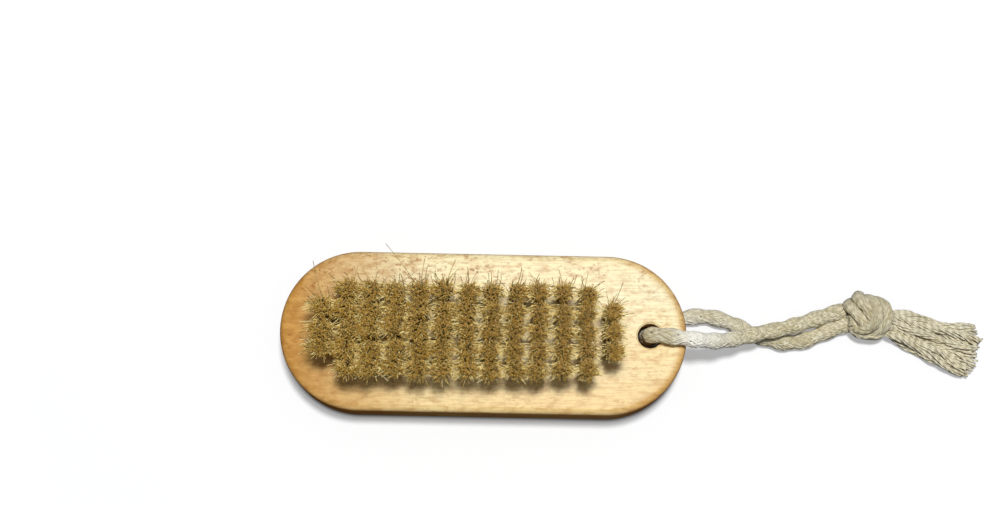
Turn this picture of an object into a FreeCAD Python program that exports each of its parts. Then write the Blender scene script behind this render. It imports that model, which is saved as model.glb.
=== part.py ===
import FreeCAD, Part
import Sketcher
import math
import os

# A wooden nail brush lying on its back with the bristles up.
# X runs along the block towards the cord hole, Z is up, and the origin is the middle of the back.

DIMENSIONS = {
    # block
    "block_length": 95.0,
    "block_width": 37.4,
    "block_thickness": 13.0,
    "face_edge_round": 1.5,
    "back_edge_bevel": 0.9,
    # notch along the back: a finger cove that ends at an upright wall
    "notch_wall_offset": 2.0,
    "notch_depth": 5.1,
    "notch_margin": 2.95,
    "notch_lip_round": 1.5,
    "notch_edge_round": 0.6,
    # field of tufts on the face
    "tuft_hole_diameter": 3.3,
    "tuft_hole_depth": 6.5,
    "column_pitch": 5.47,
    "row_pitch": 4.4,
    "field_end_margin": 10.7,
    "field_hole_gap": 9.5,
    "field_side_margin": 9.5,
    "bristle_length": 14.0,
    "tuft_tip_diameter": 4.6,
    # row of short tufts in the wall of the notch
    "nail_hole_diameter": 3.2,
    "nail_hole_depth": 7.0,
    "nail_pitch": 5.75,
    "nail_end_margin": 13.7,
    "nail_hole_gap": 9.0,
    "nail_bristle_length": 6.5,
    "nail_tip_diameter": 3.9,
    # flat metal anchors that the tufts are folded over
    "anchor_end_gap": 0.2,
    "anchor_height": 1.8,
    "anchor_thickness": 0.35,
    "anchor_floor_gap": 0.9,
    # fits
    "tuft_clearance": 0.06,
    "anchor_clearance": 0.05,
    # hanging cord
    "cord_hole_diameter": 5.8,
    "cord_hole_inset": 8.65,
    "cord_mouth_bevel": 0.4,
    "cord_diameter": 4.0,
    "knot_length": 10.0,
    "knot_width": 11.4,
    "knot_height": 9.2,
    "tail_length": 22.5,
    "tail_end_width": 6.2,
    "tail_end_height": 3.2,
}

# Tufts, their holes and the cord are drawn with flat sides.
TUFT_SIDES = 8
KNOT_SIDES = 8
CORD_SIDES = 6
END_COLUMN_ROWS_LOST = 2

Vector = FreeCAD.Vector
X_AXIS = Vector(1, 0, 0)
Z_AXIS = Vector(0, 0, 1)

# Sketch elements: a curve's points, the origin and the horizontal axis
START, END, CENTRE = range(1, 4)
ORIGIN = (-1, 1)
X_LINE = -1

doc = FreeCAD.newDocument("nail_brush")
sheet = doc.addObject("Spreadsheet::Sheet", "sizes")
for row, (alias, length) in enumerate(DIMENSIONS.items(), start=1):
    sheet.set(f"A{row}", alias)
    sheet.set(f"B{row}", str(length))
    sheet.setAlias(f"B{row}", alias)
doc.recompute()


def size(alias):
    return float(sheet.get(alias))


def value(expression):
    return float(sheet.evalExpression(expression))


def spokes(sides, radius):
    """Corners of a flat-sided ring, with its last side square to the X axis."""
    angles = [2 * math.pi * (number + 0.5) / sides for number in range(sides)]
    return [Vector(radius * math.cos(angle), radius * math.sin(angle), 0) for angle in angles]


# Counts of tufts follow from the space that the block leaves for them.
cord_hole_x = size("block_length") / 2 - size("cord_hole_inset")
field_start = size("field_end_margin") - size("block_length") / 2
field_room = cord_hole_x - size("field_hole_gap") - field_start
column_count = math.floor(field_room / size("column_pitch")) + 1
side_room = size("block_width") / 2 - size("field_side_margin")
row_count = 2 * math.floor(side_room / size("row_pitch")) + 1
end_row_count = row_count - END_COLUMN_ROWS_LOST
nail_start = size("nail_end_margin") - size("block_length") / 2
nail_room = cord_hole_x - size("nail_hole_gap") - nail_start
nail_count = math.floor(nail_room / size("nail_pitch")) + 1

CORD_HOLE_X = "(sizes.block_length / 2 - sizes.cord_hole_inset)"
FIELD_START = "(sizes.field_end_margin - sizes.block_length / 2)"
FIELD_MIDDLE = f"(({FIELD_START} + {CORD_HOLE_X} - sizes.field_hole_gap) / 2)"
NAIL_START = "(sizes.nail_end_margin - sizes.block_length / 2)"
NAIL_MIDDLE = f"(({NAIL_START} + {CORD_HOLE_X} - sizes.nail_hole_gap) / 2)"


def column_x(index):
    return f"{FIELD_MIDDLE} + {index - (column_count - 1) / 2} * sizes.column_pitch"


def row_y(index, rows):
    return f"{index - (rows - 1) / 2} * sizes.row_pitch"


def nail_x(index):
    return f"{NAIL_MIDDLE} + {index - (nail_count - 1) / 2} * sizes.nail_pitch"


def rows_in_column(index):
    at_end = index in (0, column_count - 1)
    return end_row_count if at_end else row_count


# The wooden block
block = doc.addObject("PartDesign::Body", "block")
block.Label = "block"


def plane_sketch(name, role, height=None):
    sketch = block.newObject("Sketcher::SketchObject", name)
    plane = next(item for item in block.Origin.OriginFeatures if item.Role == role)
    sketch.AttachmentSupport = [(plane, "")]
    sketch.MapMode = "FlatFace"
    if height:
        sketch.setExpression("AttachmentOffset.Base.z", height)
    return sketch


def drive(sketch, name, expression, *constraint):
    index = sketch.addConstraint(Sketcher.Constraint(*constraint))
    sketch.renameConstraint(index, name)
    sketch.setExpression(f"Constraints.{name}", expression)


def line(sketch, start, end):
    return sketch.addGeometry(Part.LineSegment(Vector(*start, 0), Vector(*end, 0)), False)


def arc(sketch, centre, radius, first, last):
    circle = Part.Circle(Vector(*centre, 0), Z_AXIS, radius)
    return sketch.addGeometry(Part.ArcOfCircle(circle, first, last), False)


def stadium_sketch():
    sketch = plane_sketch("outline", "XY_Plane")
    radius = size("block_width") / 2
    reach = size("block_length") / 2 - radius
    right = arc(sketch, (reach, 0), radius, -math.pi / 2, math.pi / 2)
    far_side = line(sketch, (reach, radius), (-reach, radius))
    left = arc(sketch, (-reach, 0), radius, math.pi / 2, 1.5 * math.pi)
    near_side = line(sketch, (-reach, -radius), (reach, -radius))
    for first, second in ((right, far_side), (far_side, left), (left, near_side), (near_side, right)):
        sketch.addConstraint(Sketcher.Constraint("Tangent", first, END, second, START))
    sketch.addConstraint(Sketcher.Constraint("Symmetric", right, CENTRE, left, CENTRE, *ORIGIN))
    sketch.addConstraint(Sketcher.Constraint("PointOnObject", right, CENTRE, X_LINE))
    drive(sketch, "end_radius", "sizes.block_width / 2", "Radius", right, radius)
    drive(sketch, "end_reach", "(sizes.block_length - sizes.block_width) / 2",
          "DistanceX", *ORIGIN, right, CENTRE, reach)
    return sketch


def notch_sketch():
    # Seen along X: across is Y and up is Z, with the back of the block on the across axis.
    sketch = plane_sketch("notch_profile", "YZ_Plane")
    wall = -size("notch_wall_offset")
    depth = size("notch_depth")
    lip = size("block_width") / 2 - size("notch_margin")
    lip_round = size("notch_lip_round")
    edge_round = size("notch_edge_round")
    span = lip - wall
    cove_radius = (span ** 2 + depth ** 2 - 2 * lip_round * depth) / (2 * depth)
    cove_centre = depth - cove_radius
    meet = math.atan2(lip_round - cove_centre, span)
    back = line(sketch, (lip, 0), (wall - edge_round, 0))
    edge = arc(sketch, (wall - edge_round, edge_round), edge_round, -math.pi / 2, 0)
    upright = line(sketch, (wall, edge_round), (wall, depth))
    cove = arc(sketch, (wall, cove_centre), cove_radius, meet, math.pi / 2)
    soft_lip = arc(sketch, (lip, lip_round), lip_round, meet + math.pi, 1.5 * math.pi)
    sketch.addConstraint(Sketcher.Constraint("PointOnObject", back, START, X_LINE))
    sketch.addConstraint(Sketcher.Constraint("Horizontal", back))
    sketch.addConstraint(Sketcher.Constraint("Tangent", back, END, edge, START))
    sketch.addConstraint(Sketcher.Constraint("Tangent", edge, END, upright, START))
    sketch.addConstraint(Sketcher.Constraint("Vertical", upright))
    sketch.addConstraint(Sketcher.Constraint("Coincident", upright, END, cove, END))
    sketch.addConstraint(Sketcher.Constraint("PointOnObject", cove, CENTRE, upright))
    sketch.addConstraint(Sketcher.Constraint("Tangent", cove, START, soft_lip, START))
    sketch.addConstraint(Sketcher.Constraint("Tangent", soft_lip, END, back, START))
    drive(sketch, "edge_round", "sizes.notch_edge_round", "Radius", edge, edge_round)
    drive(sketch, "lip_round", "sizes.notch_lip_round", "Radius", soft_lip, lip_round)
    drive(sketch, "wall_place", "sizes.notch_wall_offset", "DistanceX", upright, END, *ORIGIN, -wall)
    drive(sketch, "depth", "sizes.notch_depth", "DistanceY", *ORIGIN, upright, END, depth)
    drive(sketch, "lip_place", "sizes.block_width / 2 - sizes.notch_margin",
          "DistanceX", *ORIGIN, back, START, lip)
    return sketch


def circle_sketch(name, role, height, diameter, across, up, sides=None):
    """A round hole, or the flat-sided one whose corners lie on that circle."""
    sketch = plane_sketch(name, role, height)
    centre = Vector(value(across), value(up), 0)
    bore = value(diameter)
    circle = sketch.addGeometry(Part.Circle(centre, Z_AXIS, bore / 2), sides is not None)
    drive(sketch, "bore", diameter, "Diameter", circle, bore)
    drive(sketch, "across", across, "DistanceX", *ORIGIN, circle, CENTRE, centre.x)
    drive(sketch, "up", up, "DistanceY", *ORIGIN, circle, CENTRE, centre.y)
    if sides is None:
        return sketch
    corners = [centre + spoke for spoke in spokes(sides, bore / 2)]
    edges = [line(sketch, (a.x, a.y), (b.x, b.y)) for a, b in zip(corners, corners[1:] + corners[:1])]
    for edge, following in zip(edges, edges[1:] + edges[:1]):
        sketch.addConstraint(Sketcher.Constraint("Coincident", edge, END, following, START))
        sketch.addConstraint(Sketcher.Constraint("PointOnObject", edge, START, circle))
    for edge in edges[1:]:
        sketch.addConstraint(Sketcher.Constraint("Equal", edges[0], edge))
    sketch.addConstraint(Sketcher.Constraint("Vertical", edges[-1]))
    return sketch


def cut(name, sketch, depth=None, reverse=False):
    before = block.Shape.Volume
    pocket = block.newObject("PartDesign::Pocket", name)
    pocket.Profile = sketch
    pocket.Reversed = reverse
    if depth:
        pocket.setExpression("Length", depth)
    else:
        pocket.Type = "ThroughAll"
    doc.recompute()
    if not pocket.Shape.Volume < before - 1:
        raise RuntimeError(f"{name} cuts nothing")
    return pocket


def repeat(name, feature, sketch, across, count, up=None, up_count=1):
    pattern = block.newObject("PartDesign::LinearPattern", name)
    pattern.Originals = [feature]
    pattern.Direction = (sketch, ["H_Axis"])
    pattern.setExpression("Length", f"{count - 1} * {across}")
    pattern.Occurrences = count
    if up:
        pattern.Direction2 = (sketch, ["V_Axis"])
        pattern.setExpression("Length2", f"{up_count - 1} * {up}")
        pattern.Occurrences2 = up_count
    block.Tip = pattern
    doc.recompute()
    return pattern


def dress(kind, name, base, amount, wanted):
    """Round or bevel the wanted edges of a feature."""
    edges = [f"Edge{number}" for number, edge in enumerate(base.Shape.Edges, start=1) if wanted(edge)]
    dressed = block.newObject(f"PartDesign::{kind}", name)
    dressed.Base = (base, edges)
    dressed.setExpression("Radius" if kind == "Fillet" else "Size", amount)
    doc.recompute()
    return dressed


def lies_at(height):
    return lambda edge: abs(edge.BoundBox.ZMin - height) + abs(edge.BoundBox.ZMax - height) < 1e-4


def is_cord_mouth(edge):
    at_face = lies_at(size("block_thickness"))(edge)
    return at_face and abs(edge.BoundBox.XLength - size("cord_hole_diameter")) < 1e-3


pad = block.newObject("PartDesign::Pad", "slab")
pad.Profile = stadium_sketch()
pad.setExpression("Length", "sizes.block_thickness")
doc.recompute()
face_edge = dress("Fillet", "face_edge", pad, "sizes.face_edge_round", lies_at(size("block_thickness")))
dress("Chamfer", "back_edge", face_edge, "sizes.back_edge_bevel", lies_at(0))

notch = block.newObject("PartDesign::Pocket", "notch")
notch.Profile = notch_sketch()
notch.SideType = "Symmetric"
notch.setExpression("Length", "2 * sizes.block_length")
doc.recompute()

tuft_sketch = circle_sketch("tuft_hole_circle", "XY_Plane", "sizes.block_thickness",
                            "sizes.tuft_hole_diameter", column_x(1), row_y(0, row_count), TUFT_SIDES)
tuft_hole = cut("tuft_hole", tuft_sketch, "sizes.tuft_hole_depth")
repeat("tuft_holes", tuft_hole, tuft_sketch, "sizes.column_pitch", column_count - 2,
       "sizes.row_pitch", row_count)

end_sketch = circle_sketch("end_hole_circle", "XY_Plane", "sizes.block_thickness",
                           "sizes.tuft_hole_diameter", column_x(0), row_y(0, end_row_count), TUFT_SIDES)
end_hole = cut("end_hole", end_sketch, "sizes.tuft_hole_depth")
repeat("end_holes", end_hole, end_sketch, f"{column_count - 1} * sizes.column_pitch", 2,
       "sizes.row_pitch", end_row_count)

nail_sketch = circle_sketch("nail_hole_circle", "XZ_Plane", "sizes.notch_wall_offset",
                            "sizes.nail_hole_diameter", nail_x(0), "sizes.notch_depth / 2", TUFT_SIDES)
nail_hole = cut("nail_hole", nail_sketch, "sizes.nail_hole_depth", reverse=True)
repeat("nail_holes", nail_hole, nail_sketch, "sizes.nail_pitch", nail_count)

cord_sketch = circle_sketch("cord_hole_circle", "XY_Plane", "sizes.block_thickness",
                            "sizes.cord_hole_diameter", CORD_HOLE_X, "0")
cord_hole = cut("cord_hole", cord_sketch)
block.Tip = dress("Chamfer", "cord_mouth", cord_hole, "sizes.cord_mouth_bevel", is_cord_mouth)

# Tufts: a bundle of bristles that fills its hole and spreads towards its tips.
# Each one is folded over an anchor, a flat piece of metal set across the foot of the hole.


def faceted(rings):
    """A closed solid with flat faces through rings that have the same number of corners."""
    faces = [Part.Face(Part.makePolygon(ring + ring[:1])) for ring in (rings[0], rings[-1])]
    for low, high in zip(rings, rings[1:]):
        for index in range(len(low)):
            after = (index + 1) % len(low)
            quad = [low[index], low[after], high[after], high[index]]
            lift = (quad[1] - quad[0]).cross(quad[3] - quad[0])
            flat = abs(lift.dot(quad[2] - quad[0])) < 1e-6 * lift.Length
            outlines = [quad] if flat else [quad[:3], [quad[0], quad[2], quad[3]]]
            faces += [Part.Face(Part.makePolygon(outline + outline[:1])) for outline in outlines]
    solid = Part.Solid(Part.Shell(faces))
    if solid.Volume < 0:
        solid.reverse()
    return solid


def own_shape(label, shape):
    feature = doc.addObject("Part::Feature", label)
    feature.Label = label
    feature.Shape = shape
    feature.Placement = FreeCAD.Placement()
    return feature


def make_tuft(name, hole_diameter, hole_depth, free_length, tip_diameter):
    """A tuft standing on z = 0 at the floor of its hole, with a slot for its anchor."""
    shank_radius = value(f"{hole_diameter} / 2 - sizes.tuft_clearance")
    tip_radius = value(f"{tip_diameter} / 2")
    foot = Vector(0, 0, size("tuft_clearance"))
    mouth = Vector(0, 0, value(hole_depth))
    tips = Vector(0, 0, value(f"{hole_depth} + {free_length}"))
    bundle = own_shape(f"{name}_bundle", faceted([
        [foot + spoke for spoke in spokes(TUFT_SIDES, shank_radius)],
        [mouth + spoke for spoke in spokes(TUFT_SIDES, shank_radius)],
        [tips + spoke for spoke in spokes(TUFT_SIDES, tip_radius)],
    ]))
    slot = doc.addObject("Part::Box", f"{name}_slot")
    slot.setExpression("Length", hole_diameter)
    slot.setExpression("Width", "sizes.anchor_thickness + 2 * sizes.anchor_clearance")
    slot.setExpression("Height", "sizes.anchor_height + 2 * sizes.anchor_clearance")
    slot.setExpression("Placement.Base.x", f"-{hole_diameter} / 2")
    slot.setExpression("Placement.Base.y", "-sizes.anchor_thickness / 2 - sizes.anchor_clearance")
    slot.setExpression("Placement.Base.z", "sizes.anchor_floor_gap - sizes.anchor_clearance")
    tuft = doc.addObject("Part::Cut", name)
    tuft.Base = bundle
    tuft.Tool = slot
    return tuft


def make_anchor(name, hole_diameter):
    anchor = doc.addObject("Part::Box", name)
    anchor.setExpression("Length", f"{hole_diameter} - 2 * sizes.anchor_end_gap")
    anchor.setExpression("Width", "sizes.anchor_thickness")
    anchor.setExpression("Height", "sizes.anchor_height")
    anchor.setExpression("Placement.Base.x", f"sizes.anchor_end_gap - {hole_diameter} / 2")
    anchor.setExpression("Placement.Base.y", "-sizes.anchor_thickness / 2")
    anchor.setExpression("Placement.Base.z", "sizes.anchor_floor_gap")
    holder = doc.addObject("Part::Compound", f"{name}_seated")
    holder.Links = [anchor]
    return holder


def placed(source, name, across, along, height, turn=None):
    link = doc.addObject("App::Link", name)
    link.LinkedObject = source
    if turn:
        link.Placement = FreeCAD.Placement(Vector(), turn)
    link.setExpression("Placement.Base.x", across)
    link.setExpression("Placement.Base.y", along)
    link.setExpression("Placement.Base.z", height)
    return link


def group(label, links):
    compound = doc.addObject("Part::Compound", label)
    compound.Label = label
    compound.Links = links
    return compound


field_tuft = make_tuft("field_tuft", "sizes.tuft_hole_diameter", "sizes.tuft_hole_depth",
                       "sizes.bristle_length", "sizes.tuft_tip_diameter")
nail_tuft = make_tuft("nail_tuft", "sizes.nail_hole_diameter", "sizes.nail_hole_depth",
                      "sizes.nail_bristle_length", "sizes.nail_tip_diameter")
field_anchor = make_anchor("field_anchor", "sizes.tuft_hole_diameter")
nail_anchor = make_anchor("nail_anchor", "sizes.nail_hole_diameter")

HOLE_FLOOR = "sizes.block_thickness - sizes.tuft_hole_depth"
NAIL_FLOOR = "-sizes.notch_wall_offset - sizes.nail_hole_depth"
NAIL_HEIGHT = "sizes.notch_depth / 2"
OUT_OF_WALL = FreeCAD.Rotation(X_AXIS, -90)

sub_parts = [block]
field_anchors = []
for column in range(column_count):
    rows = rows_in_column(column)
    tufts = []
    for row in range(rows):
        where = (column_x(column), row_y(row, rows), HOLE_FLOOR)
        tufts.append(placed(field_tuft, f"tuft_{column + 1}_{row + 1}", *where))
        field_anchors.append(placed(field_anchor, f"anchor_{column + 1}_{row + 1}", *where))
    sub_parts.append(group(f"bristle_column_{column + 1:02d}", tufts))
sub_parts.append(group("field_anchors", field_anchors))

nail_tufts = []
nail_anchors = []
for index in range(nail_count):
    where = (nail_x(index), NAIL_FLOOR, NAIL_HEIGHT, OUT_OF_WALL)
    nail_tufts.append(placed(nail_tuft, f"nail_tuft_{index + 1}", *where))
    nail_anchors.append(placed(nail_anchor, f"nail_anchor_{index + 1}", *where))
sub_parts.append(group("nail_row_tufts", nail_tufts))
sub_parts.append(group("nail_row_anchors", nail_anchors))

# The cord: one soft rope through the hole, its two legs knotted together, with two frayed tails.
# The legs meet inside the hole. Route points are offsets from the hole's axis, with heights.

face = size("block_thickness")
cord_radius = size("cord_diameter") / 2
ARC_SHARE = 0.45


def from_hole(across, along, height):
    return Vector(cord_hole_x + across, along, height)


UPPER_ROUTE = [
    from_hole(-0.2, 0.35, face - 4.3),
    from_hole(-0.2, 0.35, face - 0.7),
    from_hole(2.6, -0.05, face + 2.5),
    from_hole(6.6, -0.5, face + 2.4),
    from_hole(10.9, -0.95, face + 1.7),
    from_hole(15.2, -0.9, 12.9),
    from_hole(19.6, -0.05, 10.6),
    from_hole(23.6, 1.3, 8.4),
    from_hole(27.5, 2.5, 6.7),
    from_hole(31.6, 3.5, 5.6),
    from_hole(35.7, 4.9, 4.5),
    from_hole(39.5, 6.4, 3.4),
    from_hole(43.32, 7.815, 2.3),
    from_hole(47.12, 9.05, 2.3),
]

LOWER_ROUTE = [
    from_hole(-0.2, 0.35, face - 4.3),
    from_hole(-0.2, 0.35, 4.9),
    from_hole(1.9, 2.1, 2.15),
    from_hole(4.6, 4.0, 2.05),
    from_hole(7.9, 5.5, 2.05),
    from_hole(11.6, 6.4, 2.05),
    from_hole(15.5, 6.5, 2.05),
    from_hole(19.3, 5.6, 2.05),
    from_hole(22.8, 4.0, 2.05),
    from_hole(26.3, 2.1, 2.05),
    from_hole(30.0, 0.75, 2.05),
    from_hole(33.9, 0.25, 2.05),
    from_hole(37.6, 0.85, 2.05),
    from_hole(41.0, 2.3, 2.05),
    from_hole(44.58, 3.915, 2.3),
    from_hole(48.38, 5.15, 2.3),
]


def tube(name, route):
    """Straight runs joined by the largest tangent arcs that the runs allow."""
    edges = []
    radii = []
    last = route[0]
    for before, corner, after in zip(route, route[1:], route[2:]):
        into = corner - before
        out = after - corner
        turn = into.getAngle(out)
        trim = ARC_SHARE * min(into.Length, out.Length)
        radius = trim / math.tan(turn / 2)
        into.normalize()
        out.normalize()
        first = corner - into * trim
        final = corner + out * trim
        inward = out - into
        inward.normalize()
        crown = corner + inward * (radius / math.cos(turn / 2) - radius)
        edges.append(Part.LineSegment(last, first).toShape())
        edges.append(Part.Arc(first, crown, final).toShape())
        radii.append(round(radius, 1))
        last = final
    edges.append(Part.LineSegment(last, route[-1]).toShape())
    path = Part.Wire(edges)
    start = route[1] - route[0]
    start.normalize()
    frame = FreeCAD.Rotation(Z_AXIS, start)
    corners = [route[0] + frame.multVec(spoke) for spoke in spokes(CORD_SIDES, cord_radius)]
    section = Part.makePolygon(corners + corners[:1])
    solid = path.makePipeShell([section], True, False)
    expected = Part.Face(section).Area * path.Length
    print(name, "length", round(path.Length, 1), "radii", radii,
          "volume share", round(solid.Volume / expected, 4))
    return solid


FLOOR_GAP = 0.1
JOINT_GAP = 0.02

# The knot's girth on the way from where the legs enter to where the tails leave
ENTRY_HEADING = 18
TAIL_HEADING = -19
KNOT_BOW = 0.1
KNOT_DRIFT = -1.0
ENTRY_SPARE = 0.6
FRONT_WIDTH_SHARE = 0.95
FRONT_HEIGHT_SHARE = 0.88
BACK_WIDTH_SHARE = 0.86
BACK_HEIGHT_SHARE = 0.97
EXIT_WIDTH_SPARE = 2.0
EXIT_HEIGHT_SPARE = 0.2

# How the two tails part: their distance from the middle line at the start and a quarter along
TAIL_NECK_SHARE = 0.95
TAIL_START_ASIDE = 0.5
TAIL_QUARTER_ASIDE = 1.6
TAIL_GAP = 0.2


def way(heading):
    return Vector(math.cos(math.radians(heading)), math.sin(math.radians(heading)), 0)


def slice_across(centre, heading, width, height):
    """An upright flattened ring across the cord's way, which points along heading."""
    across = way(heading + 90)
    flat_to_corner = 1 / math.cos(math.pi / KNOT_SIDES)
    wide = across * (width / 2 * flat_to_corner)
    tall = Z_AXIS * (height / 2 * flat_to_corner)
    return [centre + wide * spoke.x + tall * spoke.y for spoke in spokes(KNOT_SIDES, 1)]


knot_entry = (UPPER_ROUTE[-1] + LOWER_ROUTE[-1]) * 0.5 + way(ENTRY_HEADING) * JOINT_GAP
knot_middle = knot_entry + Vector(size("knot_length") / 2, KNOT_BOW, 0)
knot_exit = knot_entry + Vector(size("knot_length"), KNOT_DRIFT, 0)


def knot_shape():
    width = size("knot_width")
    height = size("knot_height")
    girth = size("cord_diameter")
    front = (knot_entry + knot_middle) * 0.5
    back = (knot_middle + knot_exit) * 0.5

    def slice_at(spot, heading, wide, tall):
        centre = Vector(spot.x, spot.y, tall / 2 + FLOOR_GAP)
        return slice_across(centre, heading, wide, tall)

    return faceted([
        slice_at(knot_entry, ENTRY_HEADING, 2 * girth + ENTRY_SPARE, girth + ENTRY_SPARE),
        slice_at(front, ENTRY_HEADING / 2, width * FRONT_WIDTH_SHARE, height * FRONT_HEIGHT_SHARE),
        slice_at(knot_middle, 0, width, height),
        slice_at(back, TAIL_HEADING / 2, width * BACK_WIDTH_SHARE, height * BACK_HEIGHT_SHARE),
        slice_at(knot_exit, TAIL_HEADING, girth + EXIT_WIDTH_SPARE, 2 * girth + EXIT_HEIGHT_SPARE),
    ])


def tail_shape(side, start_height, quarter_height, half_height):
    """A frayed end that leaves the knot and spreads sideways as it comes to lie on the floor."""
    forward = way(TAIL_HEADING)
    sideways = way(TAIL_HEADING + 90) * side
    length = size("tail_length")
    end_width = size("tail_end_width")
    end_height = size("tail_end_height")
    girth = size("cord_diameter")
    neck = girth * TAIL_NECK_SHARE
    half_width = (girth + end_width) / 2

    def slice_at(share, aside, centre_height, wide, tall):
        centre = knot_exit + forward * (share * length + JOINT_GAP) + sideways * aside
        centre.z = centre_height
        return slice_across(centre, TAIL_HEADING, wide, tall)

    return faceted([
        slice_at(0, TAIL_START_ASIDE, start_height, neck, neck),
        slice_at(1 / 4, TAIL_QUARTER_ASIDE, quarter_height, neck, neck),
        slice_at(1 / 2, half_width / 2 + TAIL_GAP, half_height, half_width, girth),
        slice_at(1, end_width / 2 + TAIL_GAP, end_height / 2 + FLOOR_GAP, end_width, end_height),
    ])


sub_parts.append(own_shape("cord_upper_leg", tube("cord_upper_leg", UPPER_ROUTE)))
sub_parts.append(own_shape("cord_lower_leg", tube("cord_lower_leg", LOWER_ROUTE)))
sub_parts.append(own_shape("cord_knot", knot_shape()))
LYING_HEIGHTS = (2.1, 2.1, 2.1)
FALLING_HEIGHTS = (6.2, 5.5, 3.0)
sub_parts.append(own_shape("cord_tail_a", tail_shape(-1, *LYING_HEIGHTS)))
sub_parts.append(own_shape("cord_tail_b", tail_shape(1, *FALLING_HEIGHTS)))

# Every object has to be sound before anything is written.
doc.recompute()
for item in doc.Objects:
    if "Invalid" in item.State or "Error" in item.State:
        raise RuntimeError(f"{item.Label} failed: {item.State}")
for sub_part in sub_parts:
    if sub_part.Shape.isNull() or not sub_part.Shape.isValid():
        raise RuntimeError(f"{sub_part.Label} has no sound shape")

os.makedirs("parts", exist_ok=True)
for sub_part in sub_parts:
    sub_part.Shape.exportStep(f"parts/{sub_part.Label}.step")
    print(sub_part.Label, len(sub_part.Shape.Solids), "solids", round(sub_part.Shape.Volume, 1), "mm3")
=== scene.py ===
import math

import bpy
import numpy as np
from mathutils import Matrix, Vector


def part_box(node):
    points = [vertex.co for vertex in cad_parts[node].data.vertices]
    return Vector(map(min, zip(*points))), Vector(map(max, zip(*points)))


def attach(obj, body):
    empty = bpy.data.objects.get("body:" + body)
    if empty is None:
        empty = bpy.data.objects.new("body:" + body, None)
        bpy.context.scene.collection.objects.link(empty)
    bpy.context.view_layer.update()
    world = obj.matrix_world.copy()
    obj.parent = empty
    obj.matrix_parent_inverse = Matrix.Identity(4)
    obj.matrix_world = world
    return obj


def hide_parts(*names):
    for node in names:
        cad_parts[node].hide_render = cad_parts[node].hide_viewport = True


# A wooden nail brush on its back, bristles up, with its hanging cord to the right.
# Lengths are in metres in the frame of the part; sizes below are written in millimetres times MM.

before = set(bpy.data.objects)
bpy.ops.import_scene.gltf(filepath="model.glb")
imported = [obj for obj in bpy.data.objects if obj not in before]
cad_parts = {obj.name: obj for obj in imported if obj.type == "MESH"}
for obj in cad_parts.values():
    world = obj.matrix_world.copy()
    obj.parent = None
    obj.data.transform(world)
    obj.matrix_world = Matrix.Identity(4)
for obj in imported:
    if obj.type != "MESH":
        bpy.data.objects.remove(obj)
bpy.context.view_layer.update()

MM = 0.001
BODY = "root"
RANDOM_START = 621
FULL_TURN = 2 * math.pi
ALONG = (1, 0, 0)
ACROSS = (0, 1, 0)
UP = (0, 0, 1)
random = np.random.default_rng(RANDOM_START)

BLOCK_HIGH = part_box("block")[1]
FACE = BLOCK_HIGH.z
BLOCK_END_RADIUS = BLOCK_HIGH.y
BLOCK_REACH = BLOCK_HIGH.x - BLOCK_END_RADIUS

# Camera, read from the photograph: pixels of a frame 1000 wide and 509 high

PHOTO_WIDTH = 1000
PHOTO_HEIGHT = 509
FACE_CENTRE_PIXEL = (483.5, 332.6)
PIXELS_PER_METRE = 4290
CAMERA_DISTANCE = 450 * MM
CAMERA_ELEVATION = 83
CAMERA_ROLL = 1.15
CAMERA_NEAREST = 10 * MM
CAMERA_FARTHEST = 10
SENSOR_WIDTH = 36


def make_camera():
    """Puts the middle of the bristle face on its pixel, with the block's length tipped by the roll."""
    centre = Vector((0, 0, FACE))
    elevation = math.radians(CAMERA_ELEVATION)
    place = centre + CAMERA_DISTANCE * Vector((0, -math.cos(elevation), math.sin(elevation)))
    focus = PIXELS_PER_METRE * CAMERA_DISTANCE
    aim = (centre - place).to_track_quat("-Z", "Y").to_matrix()
    roll = Matrix.Rotation(math.radians(CAMERA_ROLL), 3, "Z")
    across = FACE_CENTRE_PIXEL[0] - PHOTO_WIDTH / 2
    down = FACE_CENTRE_PIXEL[1] - PHOTO_HEIGHT / 2
    swing = Vector((across, -down, -focus)).rotation_difference(Vector((0, 0, -1))).to_matrix()
    data = bpy.data.cameras.new("camera")
    data.sensor_width = SENSOR_WIDTH
    data.lens = focus * SENSOR_WIDTH / PHOTO_WIDTH
    data.clip_start = CAMERA_NEAREST
    data.clip_end = CAMERA_FARTHEST
    camera = bpy.data.objects.new("camera", data)
    camera.matrix_world = Matrix.Translation(place) @ (aim @ roll @ swing).to_4x4()
    bpy.context.scene.collection.objects.link(camera)
    bpy.context.scene.camera = camera


# Materials


def srgb(red, green, blue):
    """A colour written as it looks on a screen, 0 to 255, as the linear colour that nodes take."""
    shares = [channel / 255 for channel in (red, green, blue)]
    linear = [s / 12.92 if s <= 0.04045 else ((s + 0.055) / 1.055) ** 2.4 for s in shares]
    return (*linear, 1)


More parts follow.
